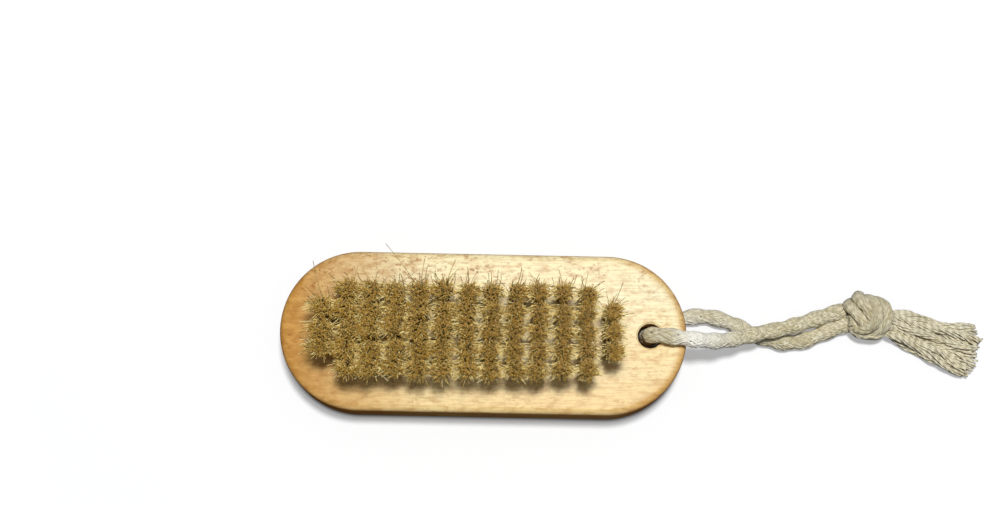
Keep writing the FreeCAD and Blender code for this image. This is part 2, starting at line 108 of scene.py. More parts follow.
class Nodes:
    """A material with short ways to add and join its nodes."""

    def __init__(self, name):
        self.material = bpy.data.materials.new(name)
        self.material.use_nodes = True
        self.tree = self.material.node_tree
        self.shader = self.tree.nodes["Principled BSDF"]

    def add(self, kind, inputs=None, **settings):
        node = self.tree.nodes.new(kind)
        for key, setting in settings.items():
            setattr(node, key, setting)
        for key, given in (inputs or {}).items():
            self.put(node.inputs[key], given)
        return node

    def put(self, socket, given):
        """Links another node's output to the socket, or sets a plain number or colour on it."""
        if isinstance(given, bpy.types.NodeSocket):
            self.tree.links.new(given, socket)
        else:
            socket.default_value = given

    def math(self, operation, first, second=0.0, clamp=False):
        node = self.add("ShaderNodeMath", operation=operation, use_clamp=clamp)
        self.put(node.inputs[0], first)
        self.put(node.inputs[1], second)
        return node.outputs[0]

    def times(self, first, second):
        return self.math("MULTIPLY", first, second)

    def plus(self, first, second, clamp=False):
        return self.math("ADD", first, second, clamp)

    def mix(self, share, first, second, blend="MIX"):
        node = self.add("ShaderNodeMix", data_type="RGBA", blend_type=blend)
        self.put(node.inputs["Factor"], share)
        self.put(node.inputs["A"], first)
        self.put(node.inputs["B"], second)
        return node.outputs["Result"]

    def span(self, given, low, high, to_low=0.0, to_high=1.0):
        """Passes from one result to the other while the given number goes from low to high."""
        node = self.add("ShaderNodeMapRange", clamp=True)
        for key, number in zip(("Value", "From Min", "From Max", "To Min", "To Max"),
                               (given, low, high, to_low, to_high)):
            self.put(node.inputs[key], number)
        return node.outputs["Result"]

    def place(self, stretch=(1, 1, 1)):
        """Points of the part's own frame, stretched along its three axes."""
        where = self.add("ShaderNodeTexCoord").outputs["Object"]
        return self.add("ShaderNodeMapping", {"Vector": where, "Scale": stretch}).outputs["Vector"]

    def noise(self, stretch, detail=4.0, roughness=0.55):
        made = self.add("ShaderNodeTexNoise", {"Vector": self.place(stretch), "Scale": 1.0,
                                               "Detail": detail, "Roughness": roughness})
        return made.outputs["Fac"]

    def axes(self, vector):
        """The three numbers of a vector."""
        parts = self.add("ShaderNodeSeparateXYZ", {"Vector": vector})
        return [parts.outputs[axis] for axis in "XYZ"]

    def from_rim(self):
        """How far a point lies inside the block's outline, which has straight sides and half-round ends."""
        along, across, _ = self.axes(self.place())
        past_side = self.math("SUBTRACT", self.math("ABSOLUTE", along), BLOCK_REACH)
        past_end = self.math("POWER", self.math("MAXIMUM", past_side, 0.0), 2.0)
        from_axis = self.math("SQRT", self.plus(past_end, self.math("POWER", across, 2.0)))
        return self.math("SUBTRACT", BLOCK_END_RADIUS, from_axis)

    def attribute(self, name):
        return self.add("ShaderNodeAttribute", attribute_name=name).outputs["Fac"]

    def bump(self, height, distance, strength=1.0):
        made = self.add("ShaderNodeBump", {"Height": height, "Distance": distance, "Strength": strength})
        self.put(self.shader.inputs["Normal"], made.outputs["Normal"])

    def finish(self, **inputs):
        for key, given in inputs.items():
            self.put(self.shader.inputs[key.replace("_", " ")], given)
        return self.material


# In the values of the materials, a stretch says how many times a pattern changes in a metre along, across and
# up the part. A span has two readings of a pattern or place and, where they aren't 0 and 1, the two results.

# Wood

BROAD_STRETCH = (22, 75, 75)
GRAIN_STRETCH = (170, 2000, 2000)
MOTTLE_STRETCH = (330, 620, 620)
FLECK_STRETCH = (850, 1350, 1350)
PATCH_STRETCH = (90, 150, 150)

NEAR_PALE = srgb(255, 230, 168)
NEAR_HONEY = srgb(251, 219, 152)
# The far pair is paler and whiter than the near pair: painted sheen across the face.
FAR_PALE_SHEENED = srgb(255, 248, 206)
FAR_HONEY_SHEENED = srgb(255, 238, 186)
# The orange pair deepens the left end: partly the wood's own colour and partly painted shade where the sheen
# is missing.
ORANGE_PALE = srgb(214, 163, 87)
ORANGE_DEEP = srgb(193, 138, 65)
STREAK_BROWN = srgb(172, 114, 54)
MOTTLE_TAN = srgb(196, 142, 72)
FLECK_BROWN = srgb(166, 110, 50)
# Painted shade on the rounded rim at the cord's end, which faces away from the light.
RIM_SHADE_TINT = srgb(222, 184, 122)
WALL_TINT = srgb(212, 178, 136)

HONEY_SPAN = (0.36, 0.66)
SHEEN_ACROSS_SPAN = (-16 * MM, 14 * MM)
DEEP_ORANGE_SPAN = (0.4, 0.62)
ORANGE_END_SPAN = (-44 * MM, -12 * MM, 1.0, 0.0)
STREAK_SPAN = (0.46, 0.72, 0.0, 0.42)
MOTTLE_SPAN = (0.48, 0.66, 0.0, 0.45)
FLECK_SPAN = (0.52, 0.65)
FLECK_PATCH_SPAN = (0.38, 0.62, 0.25, 1.0)
FLECK_ACROSS_SPAN = (-14 * MM, 6 * MM, 0.4, 1.0)
FLECK_ALONG_SPAN = (-10 * MM, 40 * MM, 1.0, 0.5)
RIM_SPAN = (0.6 * MM, 2.4 * MM, 0.7, 0.0)
RIM_END_SPAN = (29 * MM, 38 * MM)
RIM_RAGGEDNESS = 1.6 * MM
NOISE_MIDDLE = 0.5
WALL_SPAN = (0.1, 0.7, 0.95, 0.0)
POLISH_LEVEL_SPAN = (0.3, 0.8, 0.25, 1.0)
POLISH_ALONG_SPAN = (-40 * MM, 25 * MM, 0.04, 0.16)
WOOD_ROUGHNESS_SPAN = (0.3, 0.7, 0.45, 0.6)
VARNISH_ROUGHNESS = 0.3
FLECK_RELIEF = 0.5
WOOD_BUMP_DEPTH = 0.05 * MM
WOOD_BUMP_STRENGTH = 0.5


def wood_material():
    """Varnished beech: pale honey with fine streaks and short brown flecks.

    It is a deeper orange at the left end, partly its own colour and partly painted shade where the sheen is
    missing.
    Its far side is painted paler and whiter: a painted sheen. It is darker on its walls, and the rim at the
    cord's end has painted shade where its rounding faces away from the light.
    """
    wood = Nodes("varnished_beech")
    broad = wood.noise(BROAD_STRETCH, 3.0)
    grain = wood.noise(GRAIN_STRETCH, 4.0, 0.6)
    mottle = wood.noise(MOTTLE_STRETCH, 3.0)
    fleck = wood.noise(FLECK_STRETCH, 3.0, 0.62)
    patch = wood.noise(PATCH_STRETCH, 2.0)
    along, across, _ = wood.axes(wood.place())
    _, _, facing = wood.axes(wood.add("ShaderNodeNewGeometry").outputs["Normal"])
    level = wood.math("ABSOLUTE", facing)

    honey = wood.span(broad, *HONEY_SPAN)
    # Across the face the colour passes to the paler far pair: the far side's paleness is painted sheen.
    near = wood.mix(honey, NEAR_PALE, NEAR_HONEY)
    far = wood.mix(honey, FAR_PALE_SHEENED, FAR_HONEY_SHEENED)
    pale = wood.mix(wood.span(across, *SHEEN_ACROSS_SPAN), near, far)
    # Deeper orange towards the left end: partly the wood's own colour, partly painted shade.
    orange = wood.mix(wood.span(mottle, *DEEP_ORANGE_SPAN), ORANGE_PALE, ORANGE_DEEP)
    ended = wood.mix(wood.span(along, *ORANGE_END_SPAN), pale, orange)
    streaked = wood.mix(wood.span(grain, *STREAK_SPAN), ended, STREAK_BROWN)
    mottled = wood.mix(wood.span(mottle, *MOTTLE_SPAN), streaked, MOTTLE_TAN)
    dense = wood.times(wood.span(patch, *FLECK_PATCH_SPAN), wood.span(across, *FLECK_ACROSS_SPAN))
    fading = wood.times(dense, wood.span(along, *FLECK_ALONG_SPAN))
    flecked = wood.mix(wood.times(wood.span(fleck, *FLECK_SPAN), fading), mottled, FLECK_BROWN)

    # Painted shade on the rounding of the rim at the cord's end, ragged by the mottle.
    wander = wood.times(wood.math("SUBTRACT", mottle, NOISE_MIDDLE), RIM_RAGGEDNESS)
    ragged = wood.plus(wood.from_rim(), wander)
    rim = wood.times(wood.span(ragged, *RIM_SPAN), wood.span(along, *RIM_END_SPAN))
    rim_shaded = wood.mix(rim, flecked, RIM_SHADE_TINT, "MULTIPLY")
    walled = wood.mix(wood.span(level, *WALL_SPAN), rim_shaded, WALL_TINT, "MULTIPLY")
    wood.bump(wood.plus(grain, wood.times(fleck, FLECK_RELIEF)), WOOD_BUMP_DEPTH, WOOD_BUMP_STRENGTH)
    polish = wood.times(wood.span(level, *POLISH_LEVEL_SPAN), wood.span(along, *POLISH_ALONG_SPAN))
    return wood.finish(
        Base_Color=walled,
        Roughness=wood.span(grain, *WOOD_ROUGHNESS_SPAN),
        Specular_IOR_Level=0.0,
        Coat_Weight=polish,
        Coat_Roughness=VARNISH_ROUGHNESS,
    )


# Bristle

STRAW_PALE = srgb(255, 242, 182)
STRAW_DEEP = srgb(246, 219, 128)
# Painted shade: the khaki of the tips stands in for the shade between the hairs seen from above.
TIP_SHADE_PALE = srgb(198, 157, 46)
TIP_SHADE_DEEP = srgb(160, 118, 30)
DARK_HAIR = srgb(66, 45, 12)
WORN_HAIR = srgb(170, 132, 56)
TIP_SHADE_SPAN = (0.82, 0.98)
DARK_HAIR_SPAN = (0.88, 0.93, 0.0, 0.88)
SPECKLE_STRETCH = (900, 900, 220)
SPECKLE_SPAN = (0.4, 0.7, 0.0, 0.2)


def bristle_material():
    """Natural bristle: pale straw with some dark hairs; the khaki tips are painted shade from between the
    hairs.
    """
    hair = Nodes("natural_bristle")
    tone = hair.attribute("tone")
    straw = hair.mix(tone, STRAW_PALE, STRAW_DEEP)
    tip_shade = hair.mix(tone, TIP_SHADE_PALE, TIP_SHADE_DEEP)
    tip_shaded = hair.mix(hair.span(hair.attribute("tip"), *TIP_SHADE_SPAN), straw, tip_shade)
    dark = hair.mix(hair.span(tone, *DARK_HAIR_SPAN), tip_shaded, DARK_HAIR)
    speckle = hair.noise(SPECKLE_STRETCH, 3.0)
    worn = hair.mix(hair.span(speckle, *SPECKLE_SPAN), dark, WORN_HAIR)
    return hair.finish(Base_Color=worn, Roughness=0.45, Specular_IOR_Level=0.5)


# Cotton

ECRU_PALE = srgb(246, 239, 214)
ECRU_DEEP = srgb(226, 216, 182)
ECRU_DULL = srgb(196, 184, 142)
# Painted shade in the grooves between the lines of the twist.
GROOVE_SHADE_GREY = srgb(132, 120, 84)
# Painted highlight on the front leg of the cord beside the block.
HIGHLIGHT_WHITE = srgb(255, 253, 242)
BLOTCH_STRETCH = (220, 220, 220)
FIBRE_STRETCH = (2600, 2600, 2600)
BLOTCH_SPAN = (0.3, 0.7)
DULL_SPAN = (0.0, 1.0, 0.0, 0.8)
GROOVE_SHADE_SPAN = (-1.0, 0.0, 0.45, 0.0)
FRONT_LEG_SPAN = (2.5 * MM, 6.5 * MM, 1.0, 0.15)
HIGHLIGHT_START_SPAN = (43 * MM, 48 * MM)
HIGHLIGHT_STOP_SPAN = (50 * MM, 62 * MM, 0.9, 0.0)
TWIST_PER_METRE = 3600.0
TWIST_LINES = 2.0
TWIST_RELIEF = 0.5
COTTON_BUMP_DEPTH = 0.1 * MM
COTTON_BUMP_STRENGTH = 0.7


def cotton_material():
    """Ecru cotton yarn with the lines of its twist, and painted shade, greyer, in the grooves between them.

    The front leg of the cord has a painted highlight: it is paler for a short way beside the block.
    """
    cotton = Nodes("ecru_cotton")
    turns = cotton.plus(cotton.times(cotton.attribute("length"), TWIST_PER_METRE),
                        cotton.times(cotton.attribute("around"), TWIST_LINES))
    twist = cotton.math("SINE", turns)
    blotch = cotton.noise(BLOTCH_STRETCH, 4.0)
    fibre = cotton.noise(FIBRE_STRETCH, 3.0, 0.6)
    along, across, _ = cotton.axes(cotton.place())

    ecru = cotton.mix(cotton.span(blotch, *BLOTCH_SPAN), ECRU_PALE, ECRU_DEEP)
    toned = cotton.mix(cotton.span(cotton.attribute("tone"), *DULL_SPAN), ecru, ECRU_DULL)
    # Painted shade: greyer in the grooves of the twist.
    groove_shaded = cotton.mix(cotton.span(twist, *GROOVE_SHADE_SPAN), toned, GROOVE_SHADE_GREY)
    # A painted highlight: the front leg is whiter for a short way beside the block.
    stretch = cotton.times(cotton.span(along, *HIGHLIGHT_START_SPAN), cotton.span(along, *HIGHLIGHT_STOP_SPAN))
    pale = cotton.times(stretch, cotton.span(across, *FRONT_LEG_SPAN))
    highlighted = cotton.mix(pale, groove_shaded, HIGHLIGHT_WHITE)
    relief = cotton.plus(cotton.times(twist, TWIST_RELIEF), fibre)
    cotton.bump(relief, COTTON_BUMP_DEPTH, COTTON_BUMP_STRENGTH)
    return cotton.finish(
        Base_Color=highlighted,
        Roughness=0.86,
        Sheen_Weight=0.2,
        Sheen_Roughness=0.5,
        Specular_IOR_Level=0.25,
    )


# Wire

WIRE_STRETCH = (300, 4000, 4000)
WIRE_PALE = srgb(196, 192, 184)
WIRE_DULL = srgb(150, 146, 140)
WIRE_ROUGHNESS_SPAN = (0.3, 0.7, 0.3, 0.5)


def anchor_material():
    """Bare flat wire, cut from the roll and brushed along its length."""
    wire = Nodes("flat_wire")
    brushed = wire.noise(WIRE_STRETCH, 2.0)
    colour = wire.mix(brushed, WIRE_PALE, WIRE_DULL)
    return wire.finish(Base_Color=colour, Metallic=1.0, Roughness=wire.span(brushed, *WIRE_ROUGHNESS_SPAN))


WOOD = wood_material()
BRISTLE = bristle_material()
COTTON = cotton_material()
ANCHOR = anchor_material()

# Meshes made of many thin tubes

STEEPEST_FROM_UP = 0.8


def tube_mesh(name, lines, radii, sides, tones, marks=None):
    """One mesh of closed tubes along lines of points, all with the same number of points.

    Each tube has a tone, and its points know how far along and around the tube they lie. Marks are
    further numbers for the material, one for each point of the lines.
    """
    lines = np.asarray(lines, float)
    count, rings, _ = lines.shape
    ways = np.gradient(lines, axis=1)
    ways /= np.linalg.norm(ways, axis=2, keepdims=True)
    flat = np.abs(ways[:, :1, 2:]) < STEEPEST_FROM_UP
    across = np.where(flat, np.array(UP, float), np.array(ALONG, float))
    first = np.cross(ways, np.broadcast_to(across, ways.shape))
    first /= np.linalg.norm(first, axis=2, keepdims=True)
    second = np.cross(first, ways)
    turns = FULL_TURN * np.arange(sides) / sides
    spokes = np.cos(turns)[:, None] * first[:, :, None, :] + np.sin(turns)[:, None] * second[:, :, None, :]
    radii = np.broadcast_to(np.asarray(radii, float), (count, rings))
    points = lines[:, :, None, :] + radii[:, :, None, None] * spokes
    steps = np.linalg.norm(np.diff(lines, axis=1), axis=2)
    travelled = np.concatenate([np.zeros((count, 1)), np.cumsum(steps, axis=1)], axis=1)

    index = np.arange(count * rings * sides).reshape(count, rings, sides)
    after = np.roll(index, -1, axis=2)
    walls = np.stack([index[:, :-1], after[:, :-1], after[:, 1:], index[:, 1:]], axis=-1).reshape(-1, 4)
    faces = walls.tolist() + index[:, 0, ::-1].tolist() + index[:, -1].tolist()
    mesh = bpy.data.meshes.new(name)
    mesh.from_pydata(points.reshape(-1, 3).tolist(), [], faces)
    mesh.polygons.foreach_set("use_smooth", [True] * len(walls) + [False] * 2 * count)
    spread = {
        "tone": np.broadcast_to(np.asarray(tones, float)[:, None, None], index.shape),
        "length": np.broadcast_to(travelled[:, :, None], index.shape),
        "around": np.broadcast_to(turns, index.shape),
    }
    for key, numbers in (marks or {}).items():
        spread[key] = np.broadcast_to(np.asarray(numbers, float)[:, :, None], index.shape)
    for key, values in spread.items():
        layer = mesh.attributes.new(key, "FLOAT", "POINT")
        layer.data.foreach_set("value", np.ascontiguousarray(values, np.float32).ravel())
    mesh.update()
    return mesh


def add_piece(name, mesh, material, node):
    """A piece of the brush, shown in place of a CAD node."""
    mesh.materials.append(material)
    piece = bpy.data.objects.new(name, mesh)
    bpy.context.scene.collection.objects.link(piece)
    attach(piece, BODY)
    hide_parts(node)
    return piece


GOLDEN_SHARE = 3 - math.sqrt(5)
SCATTER_STRAY = 0.06


def scatter(count):
    """Places spread evenly over a disc of radius 1, each a little off its spot."""
    number = np.arange(count) + 0.5
    radius = np.sqrt(number / count)
    angle = number * math.pi * GOLDEN_SHARE
    spots = np.stack([radius * np.cos(angle), radius * np.sin(angle)], axis=1)
    return spots + random.normal(0, SCATTER_STRAY, spots.shape)


# Bristles: each hair starts in its hole, and its lean grows from foot to tip

HAIRS_PER_TUFT = 340
HAIR_RINGS = 6
HAIR_SIDES = 3
HAIR_RADIUS = 0.09 * MM
HAIR_THICKNESSES = (0.8, 1.15)
HAIR_TIP_SHARE = 0.9
HAIR_STRAY = 0.25 * MM
HAIR_UNEVEN = 0.02
LONGEST_HAIR = 1.05
LEAN_POWER = 1.25
TIP_BEND_POWER = 5
ROOT_DEPTH = 2 * MM
TUFT_RADIUS = 1.5 * MM
TUFT_LEAN = 0.3 * MM

# Short hairs, which hook out to the sides of their tuft
SHORT_SHARE = 0.32
SHORT_LENGTHS = (0.86, 1.02)
SHORT_REACH = 2.0 * MM
SHORT_REACH_SHARES = (0.2, 1)
SHORT_LEAN_POWER = 5
SHORT_DROOP = 1.3 * MM
SHORT_TIP_SHARE = 0.72

# Dark hairs along the far edge of the field
FRINGE_HAIRS = 14
FRINGE_REACH = 3.2 * MM
FRINGE_REACH_SHARES = (0.3, 1)
FRINGE_SPREAD = 0.4 * FRINGE_REACH
FRINGE_TONE = 0.91


def tuft_hairs(foot, out, side, rise, length, splay, bend, lean, count, fringe=0):
    """Hairs of one tuft, which leaves its hole at foot along out: lines of points, tip shares and tones.

    Outer hairs lean out more than inner ones, and short ones hook out to the sides. The fringe is a few
    dark hairs that stick out along rise.
    """
    spots = scatter(count)
    drift = spots * np.asarray(splay) + random.normal(0, HAIR_STRAY, spots.shape)
    lengths = length * np.minimum(1 + random.normal(0, HAIR_UNEVEN, count), LONGEST_HAIR)
    short = random.uniform(size=count) < SHORT_SHARE
    lengths[short] *= random.uniform(*SHORT_LENGTHS, count)[short]
    power = np.where(short, SHORT_LEAN_POWER, LEAN_POWER)[:, None]
    reach = SHORT_REACH * random.uniform(*SHORT_REACH_SHARES, short.sum())
    drift[short, 0] += np.sign(spots[short, 0]) * reach
    drift += np.asarray(lean)
    tones = random.uniform(0, 1, count)
    if fringe:
        drift[-fringe:, 1] += FRINGE_REACH * random.uniform(*FRINGE_REACH_SHARES, fringe)
        drift[-fringe:, 0] += random.normal(0, FRINGE_SPREAD, fringe)
        tones[-fringe:] = FRINGE_TONE
    curl = random.normal(0, bend, spots.shape)
    climb = np.linspace(0, 1, HAIR_RINGS)[None, :] * (lengths[:, None] + ROOT_DEPTH) - ROOT_DEPTH
    share = np.clip(climb / length, 0, None)
    bent = np.clip(climb / np.where(short, lengths, length)[:, None], 0, None)
    climb[short] -= SHORT_DROOP * bent[short] ** SHORT_LEAN_POWER
    aside, up = (spots[:, axis, None] * TUFT_RADIUS + drift[:, axis, None] * bent ** power
                 + curl[:, axis, None] * share ** TIP_BEND_POWER for axis in (0, 1))
    lines = (np.asarray(foot) + aside[..., None] * np.asarray(side) + up[..., None] * np.asarray(rise)
             + climb[..., None] * np.asarray(out))
    # Short hairs get less of the painted tip shade.
    share[short] *= SHORT_TIP_SHARE
    return lines, share, tones


def hair_mesh(name, tufts):
    lines = np.concatenate([tuft[0] for tuft in tufts])
    lines[..., 2] = np.maximum(lines[..., 2], HAIR_RADIUS)
    tips = np.concatenate([tuft[1] for tuft in tufts])
    tones = np.concatenate([tuft[2] for tuft in tufts])
    taper = np.linspace(1, HAIR_TIP_SHARE, HAIR_RINGS)
    radii = HAIR_RADIUS * taper * random.uniform(*HAIR_THICKNESSES, (len(lines), 1))
    return tube_mesh(name, lines, radii, HAIR_SIDES, tones, {"tip": tips})


# Field of tufts on the face, which splay more towards its left end

FIELD_ROW_PITCH = 4.4 * MM
FIELD_TIP_WIDTH = 4.25 * MM
FIELD_LEAN = -1.15 * MM
LEFT_SPLAY = 1.25 * MM
RIGHT_SPLAY = 0.3 * MM
ROW_SPLAY = 0.75 * MM
LEFT_TIP_BEND = 0.7 * MM
RIGHT_TIP_BEND = 0.35 * MM
EDGE_FLARE = 0.4 * MM

# Single long hairs that lean out over the far edge: number of the column, then the lean along and across
# the block in millimetres
LONG_HAIRS = [
    (0, -2.5, 9.6), (4, -8.0, 9.5), (4, 1.0, 6.2), (5, 2.5, 6.0), (6, 2.2, 3.6),
    (10, -1.4, 4.4), (12, 2.4, 6.0),
]
LONG_HAIR_POWER = 1.6
LONG_HAIR_ARCH = 0.6 * math.pi


def long_hair(foot, length, lean):
    """One hair that leans far out of its tuft and droops towards its tip."""
    share = np.linspace(0, 1, HAIR_RINGS)
    line = np.empty((1, HAIR_RINGS, 3))
    line[0, :, 0] = foot[0] + lean[0] * MM * share ** LONG_HAIR_POWER
    line[0, :, 1] = foot[1] + lean[1] * MM * share ** LONG_HAIR_POWER
    line[0, :, 2] = foot[2] + length * np.sin(LONG_HAIR_ARCH * share)
    return line, share[None, :], np.array([FRINGE_TONE])


def bristle_column(node, number, place_in_field):
    """One column of tufts across the face. Its place in the field runs from 0, at the left, to 1."""
    low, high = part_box(node)
    length = high.z - FACE
    rows = round((high.y - low.y - FIELD_TIP_WIDTH) / FIELD_ROW_PITCH) + 1
    middle = (low.x + high.x) / 2
    end = (place_in_field == 1) - (place_in_field == 0)
    bend = LEFT_TIP_BEND + (RIGHT_TIP_BEND - LEFT_TIP_BEND) * place_in_field
    splay = (LEFT_SPLAY + (RIGHT_SPLAY - LEFT_SPLAY) * place_in_field, ROW_SPLAY)
    tufts = []
    for row in range(rows):
        foot = (middle, (row - (rows - 1) / 2) * FIELD_ROW_PITCH, FACE)
        fringe = FRINGE_HAIRS if row == rows - 1 else 0
        lean = random.normal(0, TUFT_LEAN, 2) + (EDGE_FLARE * end, FIELD_LEAN)
        tufts.append(tuft_hairs(foot, UP, ALONG, ACROSS, length, splay, bend, lean, HAIRS_PER_TUFT, fringe))
    tufts += [long_hair(foot, length, lean) for column, *lean in LONG_HAIRS if column == number]
    name = f"bristles_{node[-2:]}"
    return add_piece(name, hair_mesh(name, tufts), BRISTLE, node)


# Short tufts that stick out sideways from the wall of the notch

NAIL_TUFTS = 12
NAIL_PITCH = 5.75 * MM
NAIL_WALL = -2 * MM
NAIL_SPLAY = (0.7 * MM, 0.7 * MM)
NAIL_TIP_BEND = 0.3 * MM
HAIRS_PER_NAIL_TUFT = 90


def nail_row():
    name = "nail_row_bristles"
    low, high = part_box("nail_row_tufts")
    middle = (low.x + high.x) / 2
    height = (low.z + high.z) / 2
    length = high.y - NAIL_WALL
    tufts = []
    for number in range(NAIL_TUFTS):
        foot = (middle + (number - (NAIL_TUFTS - 1) / 2) * NAIL_PITCH, NAIL_WALL, height)
        lean = random.normal(0, TUFT_LEAN, 2)
        tufts.append(tuft_hairs(foot, ACROSS, ALONG, UP, length, NAIL_SPLAY, NAIL_TIP_BEND, lean,
                                HAIRS_PER_NAIL_TUFT))
    return add_piece(name, hair_mesh(name, tufts), BRISTLE, "nail_row_tufts")


# Cord: the points of its two legs are in millimetres

STRANDS = 8
STRAND_PAIRS = STRANDS // 2
BRAID_PITCH = 22 * MM
STRAND_RING = 1.5 * MM
STRAND_WEAVE = 0.17 * MM
YARNS_PER_STRAND = 4
YARN_SPACING = 0.52 * MM
YARN_RADIUS = 0.33 * MM
YARN_THICKNESSES = (0.85, 1.15)
YARN_SIDES = 6
YARN_SWAY = 0.1 * MM
YARN_SWAY_LENGTH = 9 * MM
YARN_LIFT = 0.5 * YARN_SWAY
YARN_LIFT_LENGTH = 6 * MM
LEG_GIRTH = 1.0
LEG_RINGS = 130
CURVE_STEPS = 32
NEARLY_UPRIGHT = 0.1

UPPER_ROUTE = [
    (38.65, 0.35, 8.7), (38.65, 0.35, 12.3), (41.45, -0.05, 15.5), (45.45, -0.5, 15.4), (49.75, -0.95, 14.7),
    (54.05, -0.9, 12.4), (58.45, -0.05, 9.6), (62.45, 1.1, 7.6), (66.35, 2.2, 6.4), (70.45, 3.1, 5.6),
    (74.55, 4.3, 4.9), (78.35, 5.7, 4.2), (82.17, 7.1, 3.4), (85.97, 8.3, 2.8),
]
LOWER_ROUTE = [
    (38.65, 0.35, 8.7), (38.65, 0.35, 4.9), (40.75, 2.1, 2.15), (43.45, 4.0, 2.05), (46.75, 5.5, 2.05),
    (50.45, 6.3, 2.05), (54.35, 6.2, 2.05), (58.15, 5.2, 2.05), (61.65, 3.6, 2.05), (65.15, 1.9, 2.05),
    (68.85, 0.75, 2.05), (72.75, 0.25, 2.05), (76.45, 0.85, 2.05), (79.85, 2.3, 2.05), (83.43, 3.915, 2.3),
    (87.23, 5.15, 2.3),
]


def smooth_line(name, route):
    """Points along the smooth curve that has the route's points as its control points."""
    curve = bpy.data.curves.new(name, "CURVE")
    curve.dimensions = "3D"
    curve.resolution_u = CURVE_STEPS
    spline = curve.splines.new("NURBS")
    spline.points.add(len(route) - 1)
    for point, place in zip(spline.points, route):
        point.co = (*(MM * number for number in place), 1)
    spline.order_u = 3
    spline.use_endpoint_u = True
    holder = bpy.data.objects.new(name, curve)
    bpy.context.scene.collection.objects.link(holder)
    mesh = bpy.data.meshes.new_from_object(holder)
    points = np.array([vertex.co for vertex in mesh.vertices], float)
    bpy.data.meshes.remove(mesh)
    bpy.data.objects.remove(holder)
    bpy.data.curves.remove(curve)
    return points


def even_steps(points, count):
    """The same line as a number of points at even distances, and how far along each of them lies."""
    lengths = np.linalg.norm(np.diff(points, axis=0), axis=1)
    travelled = np.concatenate([[0], np.cumsum(lengths)])
    wanted = np.linspace(0, travelled[-1], count)
    return np.stack([np.interp(wanted, travelled, points[:, axis]) for axis in range(3)], axis=1), wanted


def directions(points):
    ways = np.gradient(points, axis=0)
    return ways / np.linalg.norm(ways, axis=1, keepdims=True)


def steady_frames(points):
    """Directions across a line that turn with it and don't spin about it."""
    ways = directions(points)
    side = np.cross(ways[0], np.array(UP, float))
    if np.linalg.norm(side) < NEARLY_UPRIGHT:
        side = np.array(ACROSS, float)
    sides = []
    for way in ways:
        side = side - way * (side @ way)
        side = side / np.linalg.norm(side)
        sides.append(side)
    sides = np.array(sides)
    return sides, np.cross(ways, sides)


def waves(travelled, wavelength, size):
    """A gentle sway along a yarn, with its own start."""
    return size * np.sin(FULL_TURN * travelled / wavelength + random.uniform(0, FULL_TURN))


def braid(points, girth, count):
    """Yarns of a loose round braid: half its strands wind one way and half the other, over and under."""
    line, travelled = even_steps(points, count)
    side, rise = steady_frames(line)
    start = random.uniform(0, FULL_TURN)
    yarns = []
    for number in range(STRANDS):
        hand = 1 if number % 2 == 0 else -1
        first = start + FULL_TURN / STRAND_PAIRS * (number // 2)
        middle = first + hand * FULL_TURN * travelled / BRAID_PITCH
        ring = girth * (STRAND_RING + hand * STRAND_WEAVE * np.cos(STRAND_PAIRS * middle))
        for place in range(YARNS_PER_STRAND):
            beside = (place - (YARNS_PER_STRAND - 1) / 2) * YARN_SPACING
            beside = beside + waves(travelled, YARN_SWAY_LENGTH, YARN_SWAY)
            angle = middle + beside / STRAND_RING
            out = np.cos(angle)[:, None] * side + np.sin(angle)[:, None] * rise
            lift = ring + waves(travelled, YARN_LIFT_LENGTH, YARN_LIFT)
            yarns.append(line + lift[:, None] * out)
    return yarns


def add_yarns(name, yarns, radius, node, darkest=1.0):
    """A piece of yarns that all have the same number of points and stay on the floor."""
    lines = np.array(yarns)
    lines[..., 2] = np.maximum(lines[..., 2], radius)
    thickness = radius * random.uniform(*YARN_THICKNESSES, (len(lines), 1))
    mesh = tube_mesh(name, lines, thickness, YARN_SIDES, random.uniform(0, darkest, len(lines)))
    return add_piece(name, mesh, COTTON, node)


def cord_leg(name, node, route):
    line = smooth_line(name, route)
    return add_yarns(name, braid(line, LEG_GIRTH, LEG_RINGS), YARN_RADIUS, node), line


# Knot: bands of doubled cord wrapped round a core, in millimetres from the knot's middle

KNOT_MIDDLE = np.array([91.3, 6.6, 4.3])
KNOT_HEADING = -5.7
KNOT_GIRTH = 0.66
KNOT_RINGS = 44
KNOT_PAIR_GAP = 2.75 * MM
KNOT_SHAPE = (0.97, 0.9, 0.95)
KNOT_BANDS = [
    [(-3.0, 4.6, -2.4), (-4.4, 3.8, 0.6), (-3.0, 2.2, 2.6), (-1.2, 0.2, 3.2), (0.4, -1.9, 2.6),
     (1.4, -3.2, 0.6), (1.4, -3.2, -1.6)],
    [(-0.8, 4.2, -1.8), (0.6, 4.6, 1.2), (2.0, 3.4, 2.9), (2.9, 1.0, 3.4), (2.7, -1.6, 2.9),
     (1.2, -3.6, 1.8), (-1.0, -4.0, 0.2), (-2.0, -3.4, -2.0)],
    [(3.0, 3.4, -1.6), (4.5, 2.6, 0.6), (4.9, 0.4, 1.2), (4.3, -2.0, 0.6), (3.0, -3.0, -1.6)],
    [(-2.6, -2.6, -1.8), (-1.8, -4.0, -1.4), (0.8, -4.4, -1.2), (3.0, -3.6, -1.4), (4.2, -1.8, -1.8)],
]
KNOT_CORE = [
    [(-4.6, side, low), (-1.5, 0.8 * side, 0.6 * low), (1.5, 0.8 * side, 0.6 * low), (4.6, side, low)]
    for side in (-1.7, 1.7) for low in (-1.6, 0.9)
]


def knot_place(route):
    """Places of the part's frame, in millimetres, for points given from the knot's middle."""
    turn = np.array(Matrix.Rotation(math.radians(KNOT_HEADING), 3, "Z"))
    return KNOT_MIDDLE + (np.asarray(route) * KNOT_SHAPE) @ turn.T


